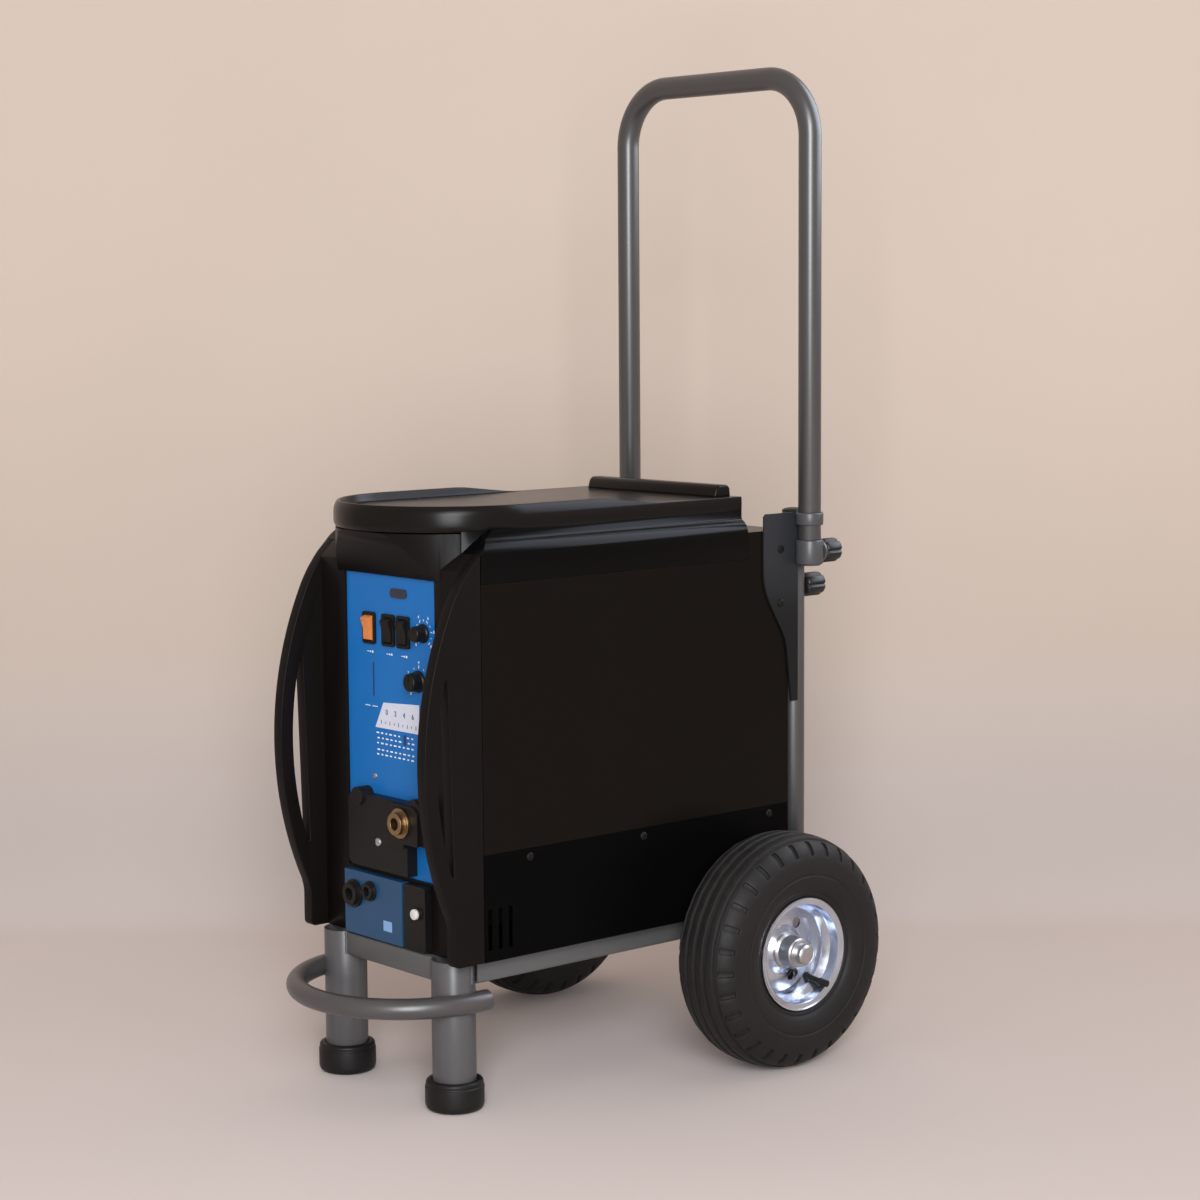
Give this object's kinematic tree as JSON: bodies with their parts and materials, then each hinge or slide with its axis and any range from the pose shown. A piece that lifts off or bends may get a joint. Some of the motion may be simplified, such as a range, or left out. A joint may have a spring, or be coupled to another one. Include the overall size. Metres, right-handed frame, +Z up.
{
  "type": "plasma cutter unit",
  "caption": "Upright plasma cutter power unit with a moulded front and top, on a tubular cart with pneumatic wheels, rubber feet, a bumper bar and a sliding loop handle.",
  "frame": {"origin": "on the floor under the middle of the whole unit's box", "axes": "+Z up, the control panel faces -Y, +X is to the right when facing the panel"},
  "size_m": [0.498, 0.6202, 1.088],
  "materials": {
    "frame_grey": "satin powder coat",
    "leg_grey": "satin powder coat",
    "foot_rubber": "matt",
    "axle_steel": "zinc plated",
    "tyre_rubber": "matt",
    "rim_zinc": "bright zinc plate",
    "knob_black": "semi-matt",
    "case_black": "gloss",
    "moulding_black": "satin gloss",
    "panel_blue": "satin",
    "block_black": "semi-matt",
    "rocker_amber": "translucent",
    "brass": "turned",
    "lens_dark": "gloss",
    "fan_black": "matt",
    "screw_dark": "black zinc",
    "guard_steel": "plated wire",
    "inner_zinc": "zinc plated",
    "core_steel": "varnished laminations",
    "sink_aluminium": "extruded",
    "board_green": "solder mask"
  },
  "bodies": {
    "cart": {"rail_left": "frame_grey", "rail_right": "frame_grey", "rail_front": "frame_grey", "rail_rear": "frame_grey", "leg_left": "leg_grey", "leg_right": "leg_grey", "foot_left": "foot_rubber", "foot_right": "foot_rubber", "bumper_bar": "frame_grey", "axle_rod": "axle_steel", "axle_fittings": "axle_steel", "post_left": "frame_grey", "post_right": "frame_grey", "post_caps": "knob_black", "gusset_left": "frame_grey", "gusset_right": "frame_grey", "guide_left": "frame_grey", "guide_right": "frame_grey", "base_tray": "case_black", "case_wrap": "case_black", "case_screws": "screw_dark", "front_bezel": "moulding_black", "rear_panel": "case_black", "top_cover": "moulding_black", "control_panel": "panel_blue", "lower_panel": "panel_blue", "torch_block": "block_black", "torch_socket": "brass", "work_socket": "block_black", "remote_socket": "block_black", "breaker_box": "block_black", "display_lens": "lens_dark", "switch_frames": "block_black", "fan_frame": "fan_black", "fan_guard": "guard_steel", "air_inlet": "brass", "cable_gland": "block_black", "divider": "inner_zinc", "transformer": "core_steel", "heat_sink": "sink_aluminium", "circuit_board": "board_green"},
    "handle": {"handle_tube": "frame_grey"},
    "wheel_left": {"tyre_left": "tyre_rubber", "rim_left": "rim_zinc", "hub_left": "axle_steel", "valve_left": "foot_rubber"},
    "wheel_right": {"tyre_right": "tyre_rubber", "rim_right": "rim_zinc", "hub_right": "axle_steel", "valve_right": "foot_rubber"},
    "clamp_knob_left": {"clamp_knob_left": "knob_black"},
    "clamp_knob_right": {"clamp_knob_right": "knob_black"},
    "hold_knob_left": {"hold_knob_left": "knob_black"},
    "hold_knob_right": {"hold_knob_right": "knob_black"},
    "power_rocker": {"power_rocker": "rocker_amber"},
    "gas_rocker": {"gas_rocker": "block_black"},
    "mode_rocker": {"mode_rocker": "block_black"},
    "current_dial": {"current_dial": "block_black"},
    "pressure_dial": {"pressure_dial": "block_black"},
    "fan_rotor": {"fan_rotor": "fan_black"}
  },
  "joints": [
    {"name": "handle_slide", "type": "slide", "parent": "cart", "child": "handle", "axis": [0, 0, 1], "range_m": [-0.3, 0]},
    {"name": "wheel_left_roll", "type": "hinge", "parent": "cart", "child": "wheel_left", "pos_m": [-0.206, 0.17085, 0.1285], "axis": [1, 0, 0], "continuous": true},
    {"name": "clamp_knob_left_turn", "type": "hinge", "parent": "cart", "child": "clamp_knob_left", "pos_m": [-0.151, 0.29885, 0.553], "axis": [0, 1, 0], "range_deg": [0, 540]},
    {"name": "hold_knob_left_turn", "type": "hinge", "parent": "cart", "child": "hold_knob_left", "pos_m": [-0.1252, 0.29585, 0.513], "axis": [0, 1, 0], "range_deg": [0, 540]},
    {"name": "wheel_right_roll", "type": "hinge", "parent": "cart", "child": "wheel_right", "pos_m": [0.206, 0.17085, 0.1285], "axis": [1, 0, 0], "continuous": true},
    {"name": "clamp_knob_right_turn", "type": "hinge", "parent": "cart", "child": "clamp_knob_right", "pos_m": [0.151, 0.29885, 0.553], "axis": [0, 1, 0], "range_deg": [0, 540]},
    {"name": "hold_knob_right_turn", "type": "hinge", "parent": "cart", "child": "hold_knob_right", "pos_m": [0.1252, 0.29585, 0.513], "axis": [0, 1, 0], "range_deg": [0, 540]},
    {"name": "power_rocker_tip", "type": "hinge", "parent": "cart", "child": "power_rocker", "pos_m": [-0.038, -0.19445, 0.4914], "axis": [-1, 0, 0], "range_deg": [0, 18]},
    {"name": "gas_rocker_tip", "type": "hinge", "parent": "cart", "child": "gas_rocker", "pos_m": [-0.004, -0.19445, 0.4914], "axis": [-1, 0, 0], "range_deg": [0, 18]},
    {"name": "mode_rocker_tip", "type": "hinge", "parent": "cart", "child": "mode_rocker", "pos_m": [0.022, -0.19445, 0.4914], "axis": [-1, 0, 0], "range_deg": [0, 18]},
    {"name": "current_dial_turn", "type": "hinge", "parent": "cart", "child": "current_dial", "pos_m": [0.056, -0.20415, 0.4934], "axis": [0, 1, 0], "range_deg": [-135, 135]},
    {"name": "pressure_dial_turn", "type": "hinge", "parent": "cart", "child": "pressure_dial", "pos_m": [0.047, -0.20415, 0.4424], "axis": [0, 1, 0], "range_deg": [-135, 135]},
    {"name": "fan_spin", "type": "hinge", "parent": "cart", "child": "fan_rotor", "pos_m": [0, 0.23085, 0.4304], "axis": [0, 1, 0], "continuous": true}
  ]
}
